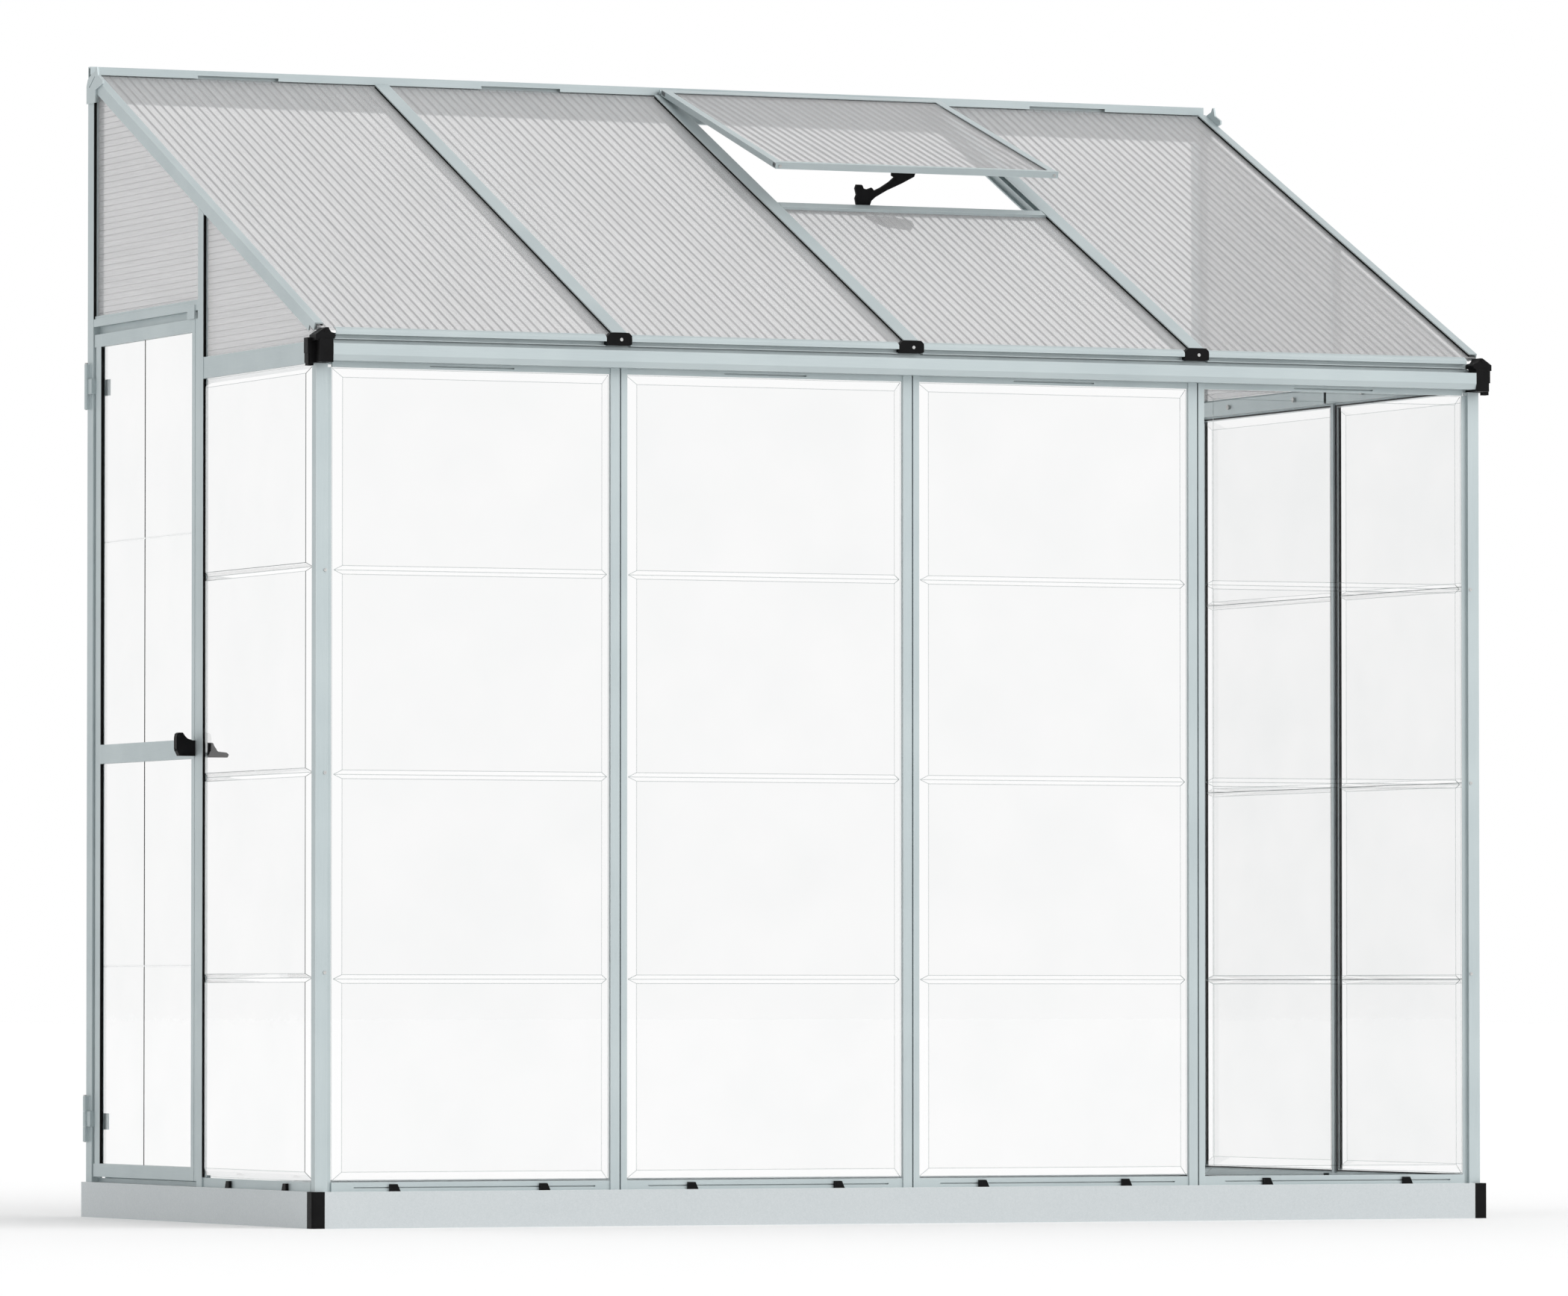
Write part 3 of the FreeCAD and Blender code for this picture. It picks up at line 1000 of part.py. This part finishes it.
def door_parts():
    x0, x1 = DOOR_X0, DOOR_X1
    y_latch = DOOR_Y0 + LATCH_STILE_W
    y_hinge = DOOR_Y1 - HINGE_STILE_W
    latch = stile(DOOR_Y0, y_latch)
    latch = latch.cut(rod(SPINDLE_HOLE_R, V(x0 - OVER, HANDLE_Y, HANDLE_Z), V(1, 0, 0), x1 - x0 + 2 * OVER))
    groove = box(x0 - OVER, x0 + STILE_GROOVE_D, STILE_GROOVE_Y, STILE_GROOVE_Y + STILE_GROOVE_W,
                 DOOR_Z0 - OVER, DOOR_Z1 + OVER)
    save("door_latch_stile", latch.cut(groove))

    top = DOOR_Z1 - DOOR_TOP_H
    low = DOOR_Z0 + DOOR_BOTTOM_H
    step = DOOR_Y1 - STILE_STEP_W
    floor_x = x0 + STILE_STEP_D
    floor = box(x0, floor_x + WALL_T, step - WALL_T, DOOR_Y1, low - WALL_T, top + WALL_T)
    hinge = fuse([stile(y_hinge, DOOR_Y1), floor])
    hinge = hinge.cut(box(x0 - OVER, floor_x, step, DOOR_Y1 + OVER, low, top))
    save("door_hinge_stile", hinge)
    save("door_top_rail", door_rail(y_latch, y_hinge, top, DOOR_Z1))
    save("door_mid_rail", door_rail(y_latch, y_hinge, DOOR_MID_Z0, DOOR_MID_Z1))
    save("door_bottom_rail", door_rail(y_latch, y_hinge, DOOR_Z0, low))

    openings = {"door_pane_upper": (DOOR_MID_Z1, top, LEAF_LEVELS[0]),
                "door_pane_lower": (low, DOOR_MID_Z0, LEAF_LEVELS[1])}
    strips = []
    for name, (z0, z1, level) in openings.items():
        save(name, leaf_pane(z0, z1, y_latch, y_hinge, level))
        for y in (y_latch, y_hinge - SEAL_T):
            strips.append(box(x0 + SEAL_V0, DOOR_PANE_X, y, y + SEAL_T, z0 + OVER, z1 - OVER))
    save("door_seals", group(strips))


def door_hinge_parts():
    leaves = []
    brackets = []
    pins = []
    ax, ay = DOOR_AXIS_X, DOOR_AXIS_Y
    up = V(0, 0, 1)
    third = HINGE_H / 6
    half = HINGE_H / 2
    strap_x = ax + STRAP_IN
    y_hinge = DOOR_Y1 - HINGE_STILE_W
    for z in HINGE_ZS:
        bore = rod(PIN_BORE_R, V(ax, ay, z - HINGE_H), up, 2 * HINGE_H)
        knuckle = rod(HINGE_R, V(ax, ay, z - third), up, 2 * third)
        strap = box(strap_x, strap_x + STRAP_T, STRAP_EDGE, ay, z - third, z + third)
        turned = box(strap_x, DOOR_X1, DOOR_Y1, STRAP_EDGE, z - third, z + third)
        leaves.append(fuse([knuckle, strap, turned]).cut(bore))
        leaves.append(box(DOOR_X1, DOOR_X1 + INNER_PLATE_T,
                          y_hinge + INNER_PLATE_Y[0], y_hinge + INNER_PLATE_Y[1],
                          z + INNER_PLATE_Z[0], z + INNER_PLATE_Z[1]))
        bracket = [box(SETBACK - BRACKET_PLATE_T, SETBACK, *BRACKET_PLATE_Y, z - half, z + half)]
        for low, high in ((z - half, z - third - KNUCKLE_GAP), (z + third + KNUCKLE_GAP, z + half)):
            bracket.append(rod(HINGE_R, V(ax, ay, low), up, high - low))
            bracket.append(box(ax, SETBACK, ay - BRACKET_FOOT, ay + BRACKET_FOOT, low, high))
        brackets.append(fuse(bracket).cut(bore))
        pins.append(fuse([rod(PIN_R, V(ax, ay, z - half - OVER), up, HINGE_H + 2 * OVER),
                          rod(PIN_HEAD_R, V(ax, ay, z + half + CLEAR), up, PIN_HEAD_T)]))
    save("door_hinge_leaves", group(leaves))
    save("door_hinge_brackets", group(brackets))
    save("door_hinge_pins", group(pins))


def handle_parts():
    y0 = HANDLE_Y - HANDLE_T / 2
    z = HANDLE_Z
    along = V(1, 0, 0)
    grip = prism([(x, y0, z + dz) for x, dz in GRIP], (0, HANDLE_T, 0))
    spindle = rod(SPINDLE_R, V(0, HANDLE_Y, z), along, HUB_X1)
    tip = min(x for x, _ in GRIP)
    screw = rod(GRIP_SCREW_R, V(tip + CLEAR, HANDLE_Y, z - GRIP_SCREW_DROP), V(-1, 0, 0), SCREW_H)
    save("handle_outer", fuse([grip, spindle, screw]))

    tab = prism([(x, y0, z + dz) for x, dz in THUMB], (0, HANDLE_T, 0))
    hub_x0 = DOOR_X1 + CLEAR
    hub = rod(HUB_R, V(hub_x0, HANDLE_Y, z), along, HUB_X1 - hub_x0)
    socket = rod(SOCKET_R, V(DOOR_X1, HANDLE_Y, z), along, HUB_X1 + OVER - DOOR_X1)
    save("handle_inner", fuse([tab, hub]).cut(socket))


# ---------------------------------------------------------------- fasteners
def fastener_parts():
    heads = []
    x = SETBACK + CORNER_FACE - POST_SCREW_IN
    for z in POST_SCREW_Z:
        heads.append(rod(SCREW_R, V(x, SETBACK, z), V(0, -1, 0), SCREW_H))
        heads.append(rod(SCREW_R, V(BASE_W - x, SETBACK, z), V(0, -1, 0), SCREW_H))
    z = (GABLE_RAIL_Z0 + EAVE_Z1) / 2
    for y in BOLT_Y_RIGHT:
        heads.append(rod(BOLT_R, V(RIGHT_FACE - POST_DEPTH, y, z), V(-1, 0, 0), BOLT_H))
    for y in BOLT_Y_LEFT:
        heads.append(rod(BOLT_R, V(SETBACK + POST_DEPTH, y, z), V(1, 0, 0), BOLT_H))
    for bay_x in BAY_X[1:-1]:
        x = bay_x + RAFTER_CAP_SHIFT + CAP_SCREW_X
        seat = V(x, RAFTER_CAP_Y + CAP_RECESS_D, CAP_SCREW_Z)
        heads.append(rod(SCREW_R, seat, V(0, -1, 0), SCREW_H))
    save("frame_bolts", group(heads))


def main():
    os.makedirs("parts", exist_ok=True)
    base_parts()
    clip_parts()
    front_parts()
    gable_post_parts()
    gable_rail_parts()
    gable_glazing_parts()
    gable_seal_parts()
    eaves_parts()
    roof_parts()
    wall_rail_parts()
    vent_parts()
    stay_parts()
    door_parts()
    door_hinge_parts()
    handle_parts()
    fastener_parts()


main()
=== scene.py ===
import json
import math

import bpy
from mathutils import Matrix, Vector


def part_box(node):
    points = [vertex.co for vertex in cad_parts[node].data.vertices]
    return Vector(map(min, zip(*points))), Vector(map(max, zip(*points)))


# Looks for the lean-to greenhouse: camera, floor, light and a material for every CAD node.
# The object has no pieces besides the CAD nodes. Lengths are in metres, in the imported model's frame.

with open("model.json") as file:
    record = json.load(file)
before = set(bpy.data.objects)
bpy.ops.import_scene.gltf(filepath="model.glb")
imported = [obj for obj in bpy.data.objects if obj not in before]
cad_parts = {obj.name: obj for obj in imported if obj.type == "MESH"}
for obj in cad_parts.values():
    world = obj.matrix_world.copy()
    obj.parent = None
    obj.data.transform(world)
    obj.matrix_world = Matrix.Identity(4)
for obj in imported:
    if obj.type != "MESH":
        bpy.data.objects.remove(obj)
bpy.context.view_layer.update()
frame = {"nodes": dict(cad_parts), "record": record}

# ---------------------------------------------------------------- camera
FRONT_LEFT_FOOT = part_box("base_corners")[0]
CAMERA_FROM_FOOT = (-7.371, -18.878, 0.4289)     # far away to the front left, a little above the foot
CAMERA_YAW = 23.827                              # degrees to the right of looking straight at the front
CAMERA_PITCH = 1.879                             # degrees upwards
CAMERA_LENS = 248.0                              # millimetres, as is the sensor
CAMERA_SENSOR = 36.0
CAMERA_SHIFT = (0.0001, -0.0016)
CAMERA_CLIP = (0.5, 200.0)


def make_camera():
    data = bpy.data.cameras.new("camera")
    data.lens = CAMERA_LENS
    data.sensor_width = CAMERA_SENSOR
    data.shift_x, data.shift_y = CAMERA_SHIFT
    data.clip_start, data.clip_end = CAMERA_CLIP
    camera = bpy.data.objects.new("camera", data)
    bpy.context.scene.collection.objects.link(camera)
    camera.location = [foot + offset for foot, offset in zip(FRONT_LEFT_FOOT, CAMERA_FROM_FOOT)]
    camera.rotation_euler = (math.radians(90 + CAMERA_PITCH), 0, -math.radians(CAMERA_YAW))
    bpy.context.scene.camera = camera


# ---------------------------------------------------------------- floor and light
WHITE = (1, 1, 1, 1)

FLOOR_SIZE = 400.0
FLOOR_GREY = 0.95
FLOOR_ROUGHNESS = 0.9

SKY_DIM = 0.76                   # strength at the sides and behind the camera
SKY_BRIGHT = 1.0                 # strength behind the greenhouse
SKY_DIM_BELOW = 0.3              # cosine of the angle from the middle of the bright part
SKY_BRIGHT_ABOVE = 0.9

SUN_FROM = (0.5, -0.8, 0.85)     # from the front right and above
SUN_POWER = 1.3
SUN_SOFTNESS = 70.0              # degrees


def make_floor():
    half = FLOOR_SIZE / 2
    outline = [(-half, -half, 0), (half, -half, 0), (half, half, 0), (-half, half, 0)]
    mesh = bpy.data.meshes.new("floor")
    mesh.from_pydata(outline, [], [(0, 1, 2, 3)])
    floor = bpy.data.objects.new("floor", mesh)
    bpy.context.scene.collection.objects.link(floor)
    material = bpy.data.materials.new("floor")
    material.use_nodes = True
    shader = material.node_tree.nodes["Principled BSDF"]
    shader.inputs["Base Color"].default_value = (FLOOR_GREY, FLOOR_GREY, FLOOR_GREY, 1)
    shader.inputs["Roughness"].default_value = FLOOR_ROUGHNESS
    mesh.materials.append(material)


def make_sky():
    """A pale sky, brightest on the far side of the greenhouse. It stays where it is in other views."""
    world = bpy.data.worlds.new("world")
    world.use_nodes = True
    tree = world.node_tree
    direction = tree.nodes.new("ShaderNodeTexCoord").outputs["Generated"]
    towards = tree.nodes.new("ShaderNodeVectorMath")
    towards.operation = "DOT_PRODUCT"
    yaw = math.radians(CAMERA_YAW)
    towards.inputs[1].default_value = (math.sin(yaw), math.cos(yaw), 0)
    tree.links.new(direction, towards.inputs[0])
    level = tree.nodes.new("ShaderNodeMapRange")
    level.inputs["From Min"].default_value = SKY_DIM_BELOW
    level.inputs["From Max"].default_value = SKY_BRIGHT_ABOVE
    level.inputs["To Min"].default_value = SKY_DIM
    level.inputs["To Max"].default_value = SKY_BRIGHT
    tree.links.new(towards.outputs["Value"], level.inputs["Value"])
    background = tree.nodes["Background"]
    background.inputs["Color"].default_value = WHITE
    tree.links.new(level.outputs["Result"], background.inputs["Strength"])
    bpy.context.scene.world = world


def make_sun():
    data = bpy.data.lights.new("sun", "SUN")
    data.energy = SUN_POWER
    data.angle = math.radians(SUN_SOFTNESS)
    sun = bpy.data.objects.new("sun", data)
    bpy.context.scene.collection.objects.link(sun)
    sun.rotation_euler = Vector([-c for c in SUN_FROM]).to_track_quat("-Z", "Y").to_euler()


# ---------------------------------------------------------------- node trees
BEVEL_SAMPLES = 4
SHEET_FLAT = 0.995               # how squarely the flat of an upright sheet faces x or y
SHEET_SLOPED = 0.75              # the same where a face counts in full as a formed slope


class Nodes:
    """Short calls for building a material. Places and normals are those of the scene, so on the
    door and the vent the pattern is laid out afresh in each pose. Noise scales are per metre."""

    def __init__(self, name):
        self.material = bpy.data.materials.new(name)
        self.material.use_nodes = True
        self.tree = self.material.node_tree
        self.shader = self.tree.nodes["Principled BSDF"]
        self.place = self.add("ShaderNodeNewGeometry").outputs["Position"]

    def add(self, kind, **values):
        node = self.tree.nodes.new(kind)
        for key, value in values.items():
            setattr(node, key, value)
        return node

    def link(self, source, target):
        self.tree.links.new(source, target)

    def scaled(self, scale):
        node = self.add("ShaderNodeMapping")
        node.inputs["Scale"].default_value = scale
        self.link(self.place, node.inputs["Vector"])
        return node.outputs["Vector"]

    def noise(self, scale, detail=3.0, stretch=(1, 1, 1)):
        node = self.add("ShaderNodeTexNoise")
        node.inputs["Scale"].default_value = scale
        node.inputs["Detail"].default_value = detail
        self.link(self.scaled(stretch), node.inputs["Vector"])
        return node.outputs["Fac"]

    def cells(self, scale):
        """Separate red, green and blue values for each cell of a fine mosaic."""
        mosaic = self.add("ShaderNodeTexVoronoi")
        mosaic.inputs["Scale"].default_value = scale
        self.link(self.place, mosaic.inputs["Vector"])
        parts = self.add("ShaderNodeSeparateColor")
        self.link(mosaic.outputs["Color"], parts.inputs["Color"])
        return parts.outputs

    def ramp(self, source, low, high, start=0.3, end=0.7):
        node = self.add("ShaderNodeValToRGB")
        node.color_ramp.elements[0].position = start
        node.color_ramp.elements[1].position = end
        node.color_ramp.elements[0].color = (*low, 1)
        node.color_ramp.elements[1].color = (*high, 1)
        self.link(source, node.inputs["Fac"])
        return node.outputs["Color"]

    def spread(self, source, low, high):
        """A value from 0 to 1, spread over low to high."""
        node = self.add("ShaderNodeMapRange")
        node.inputs["To Min"].default_value = low
        node.inputs["To Max"].default_value = high
        self.link(source, node.inputs["Value"])
        return node.outputs["Result"]

    def window(self, source, start, end):
        """0 at the start value and 1 at the end value."""
        node = self.add("ShaderNodeMapRange")
        node.inputs["From Min"].default_value = start
        node.inputs["From Max"].default_value = end
        self.link(source, node.inputs["Value"])
        return node.outputs["Result"]

    def mix(self, factor, base, other):
        """Two colours mixed, each a socket or a fixed colour. The factor is a socket."""
        node = self.add("ShaderNodeMix", data_type="RGBA")
        for value, name in ((factor, "Factor"), (base, "A"), (other, "B")):
            socket = [s for s in node.inputs if s.name == name and s.enabled][0]
            if isinstance(value, bpy.types.NodeSocket):
                self.link(value, socket)
            else:
                socket.default_value = (*value, 1)
        return [s for s in node.outputs if s.enabled][0]

    def edge_wear_and_shade(self, radius, start=0.98, end=0.8):
        """0 on flat faces, rising to 1 where the surface turns over an edge. It masks rubbed edge wear
        on metal and moulding, and the painted shade at the folds of the clear sheet.
        """
        bevel = self.add("ShaderNodeBevel", samples=BEVEL_SAMPLES)
        bevel.inputs["Radius"].default_value = radius
        plain = self.add("ShaderNodeNewGeometry").outputs["Normal"]
        dot = self.add("ShaderNodeVectorMath", operation="DOT_PRODUCT")
        self.link(bevel.outputs["Normal"], dot.inputs[0])
        self.link(plain, dot.inputs[1])
        return self.window(dot.outputs["Value"], start, end)

    def facing(self, axis):
        """How squarely the surface faces along an axis of the scene, from 0 to 1."""
        parts = self.add("ShaderNodeSeparateXYZ")
        self.link(self.add("ShaderNodeNewGeometry").outputs["True Normal"], parts.inputs[0])
        size = self.add("ShaderNodeMath", operation="ABSOLUTE")
        self.link(parts.outputs["xyz".index(axis)], size.inputs[0])
        return size.outputs[0]

    def slope(self):
        """0 on the flat of a sheet that stands along x or y, rising to 1 on its formed slopes."""
        flat = self.add("ShaderNodeMath", operation="MAXIMUM")
        self.link(self.facing("x"), flat.inputs[0])
        self.link(self.facing("y"), flat.inputs[1])
        return self.window(flat.outputs[0], SHEET_FLAT, SHEET_SLOPED)

    def color(self, source):
        self.link(source, self.shader.inputs["Base Color"])

    def roughness(self, source, low, high):
        self.link(self.spread(source, low, high), self.shader.inputs["Roughness"])

    def bump(self, height, strength, distance):
        node = self.add("ShaderNodeBump")
        node.inputs["Strength"].default_value = strength
        node.inputs["Distance"].default_value = distance
        self.link(height, node.inputs["Height"])
        self.link(node.outputs["Normal"], self.shader.inputs["Normal"])

    def constant(self, **values):
        """Values of the shader that are the same all over the surface."""
        for key, value in values.items():
            self.shader.inputs[key.replace("_", " ")].default_value = value


# ---------------------------------------------------------------- materials
ALONG = 0.02                     # scale of a pattern along its run, against 1 across it


def drawn_out(run):
    """The stretch of a pattern that is drawn out along the axes of a run."""
    return [ALONG if axis in run else 1.0 for axis in "xyz"]


def aluminium(name, run):
    """Mill-finish extrusion with fine die lines along the named axis."""
    dull, clean = (0.42, 0.485, 0.50), (0.50, 0.565, 0.575)
    streak, rubbed_edge = (0.56, 0.62, 0.63), (0.74, 0.79, 0.79)
    n = Nodes(name)
    lines = n.noise(scale=900.0, detail=2.0, stretch=drawn_out(run))
    body = n.ramp(n.noise(scale=5.0, detail=4.0), dull, clean)
    streaked = n.mix(n.spread(lines, low=0.0, high=0.5), body, streak)
    n.color(n.mix(n.edge_wear_and_shade(radius=0.0008), streaked, rubbed_edge))
    n.roughness(n.noise(scale=40.0), low=0.38, high=0.58)
    n.bump(lines, strength=0.15, distance=0.0002)
    n.constant(Metallic=0.55)
    return n.material


def galvanised():
    """Folded sheet steel with a faint zinc spangle and speckle."""
    dark_flake, light_flake = (0.535, 0.575, 0.59), (0.575, 0.61, 0.625)
    bloom, rubbed_edge = (0.62, 0.65, 0.655), (0.78, 0.81, 0.81)
    n = Nodes("galvanised_sheet")
    spangle = n.cells(scale=420.0)
    flake = n.ramp(spangle["Red"], dark_flake, light_flake, start=0.0, end=1.0)
    bloomed = n.mix(n.spread(n.noise(scale=9.0, detail=5.0), low=0.0, high=0.4), flake, bloom)
    n.color(n.mix(n.edge_wear_and_shade(radius=0.001), bloomed, rubbed_edge))
    n.roughness(spangle["Green"], low=0.42, high=0.62)
    n.bump(n.noise(scale=1100.0, detail=2.0), strength=0.2, distance=0.0003)
    n.constant(Metallic=0.35)
    return n.material


def black(name, low, high, smooth, rough, grain):
    """Black moulding or seal with a fine grain and paler rubbed edges."""
    rubbed_edge = (0.022, 0.022, 0.023)
    n = Nodes(name)
    body = n.ramp(n.noise(scale=30.0, detail=4.0), low, high)
    n.color(n.mix(n.edge_wear_and_shade(radius=0.0008), body, rubbed_edge))
    n.roughness(n.noise(scale=220.0), low=smooth, high=rough)
    n.bump(n.noise(scale=grain, detail=2.0), strength=0.3, distance=0.0003)
    n.constant(Specular_IOR_Level=0.12)
    return n.material


def moulding():
    low, high = (0.0018, 0.0018, 0.002), (0.005, 0.005, 0.0055)
    return black("black_moulding", low, high, smooth=0.4, rough=0.62, grain=2600.0)


def seal():
    low, high = (0.0025, 0.0025, 0.0025), (0.006, 0.006, 0.006)
    return black("black_seal", low, high, smooth=0.65, rough=0.87, grain=1400.0)


def fastener():
    """Zinc-plated steel heads."""
    dull, clean, rubbed_edge = (0.40, 0.41, 0.42), (0.60, 0.60, 0.58), (0.8, 0.8, 0.78)
    n = Nodes("zinc_plated_steel")
    body = n.ramp(n.noise(scale=300.0, detail=4.0), dull, clean)
    n.color(n.mix(n.edge_wear_and_shade(radius=0.0005), body, rubbed_edge))
    n.roughness(n.noise(scale=700.0), low=0.25, high=0.5)
    n.bump(n.noise(scale=1500.0), strength=0.1, distance=0.0001)
    n.constant(Metallic=0.9)
    return n.material


def clear_sheet():
    """Clear formed sheet: a faintly hazed field, slopes painted whiter as a highlight and folds painted
    dark as shade. The index of refraction is lower than the real sheet's, chosen for the photo's tones."""
    hazed, clearer = (0.925, 0.93, 0.93), (0.955, 0.955, 0.955)
    painted_slope_highlight, painted_fold_shade = (1.0, 1.0, 1.0), (0.40, 0.44, 0.44)
    n = Nodes("clear_formed_sheet")
    field = n.ramp(n.noise(scale=6.0, detail=4.0), hazed, clearer)
    # the formed slopes are painted white: a painted highlight
    formed = n.mix(n.slope(), field, painted_slope_highlight)
    # the folds are painted dark through the edge mask: painted shade, not a colour of the sheet
    n.color(n.mix(n.edge_wear_and_shade(radius=0.002, start=0.998, end=0.96), formed, painted_fold_shade))
    n.roughness(n.noise(scale=14.0, detail=5.0), low=0.0, high=0.02)
    n.bump(n.noise(scale=25.0, detail=2.0), strength=0.05, distance=0.001)
    n.constant(IOR=1.2, Transmission_Weight=1.0)
    return n.material


def twin_wall(name, run, rib_faces):
    """Milky twin-wall sheet, streaked along the axes of its run. Its ribs, whose sides face along
    the axis rib_faces, are painted darker as shade and hide more of what lies behind than its skins do."""
    greyer, whiter, painted_rib_shade = (0.60, 0.605, 0.61), (0.70, 0.70, 0.705), (0.20, 0.21, 0.215)
    n = Nodes(name)
    streak = n.noise(scale=160.0, detail=3.0, stretch=drawn_out(run))
    skin = n.ramp(streak, greyer, whiter)
    rib = n.window(n.facing(rib_faces), start=0.9, end=0.97)
    # the rib faces get a dark colour as painted shade, and a higher alpha
    n.color(n.mix(rib, skin, painted_rib_shade))
    n.link(n.spread(rib, low=0.30, high=0.6), n.shader.inputs["Alpha"])
    n.roughness(n.noise(scale=20.0, detail=4.0), low=0.30, high=0.42)
    n.bump(streak, strength=0.06, distance=0.0003)
    n.constant(IOR=1.45)
    return n.material


# ---------------------------------------------------------------- which node gets which material
# Aluminium profiles that run upright, and those that run along the gable or up the roof. The other
# aluminium nodes run along the longest side of their box.
UPRIGHTS = ("corner_posts", "front_posts", "gable_post_left", "gable_post_right", "rear_posts",
            "door_latch_stile", "door_hinge_stile", "door_hinge_brackets", "door_hinge_leaves")
GABLE_RUNS = ("gable_rails", "bottom_rails_gable", "transom_rail", "door_top_rail", "door_mid_rail",
              "door_bottom_rail", "door_threshold", "rafters_middle", "rafters_end", "vent_side_rails")

METALS = {run: aluminium("mill_aluminium_" + run, run) for run in "xyz"}
OF_SLOT = {
    "galvanised_base": galvanised(),
    "black_plastic": moulding(),
    "rubber_seal": seal(),
    "steel_fasteners": fastener(),
    "clear_pane": clear_sheet(),
}
ROOF_SHEET = twin_wall("twin_wall_roof", run="yz", rib_faces="x")
GABLE_SHEET = twin_wall("twin_wall_gable", run="xy", rib_faces="z")


def longest_axis(node):
    low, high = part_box(node)
    spans = [high[i] - low[i] for i in range(3)]
    return "xyz"[spans.index(max(spans))]


def material_for(node, slot):
    if slot == "twin_wall":
        return GABLE_SHEET if node.startswith("gable") else ROOF_SHEET
    if slot in OF_SLOT:
        return OF_SLOT[slot]
    if node in UPRIGHTS:
        return METALS["z"]
    if node in GABLE_RUNS:
        return METALS["y"]
    return METALS[longest_axis(node)]


def give(node, material):
    """Puts one material on every slot of a CAD node."""
    obj = frame["nodes"][node]
    if not obj.material_slots:
        obj.data.materials.append(material)
    for holder in obj.material_slots:
        holder.material = material


def dress_nodes():
    for entry in frame["record"]["subparts"]:
        give(entry["node"], material_for(entry["node"], entry["material_slot"]))


make_camera()
make_floor()
make_sky()
bpy.context.scene.view_settings.view_transform = "Standard"
make_sun()
dress_nodes()
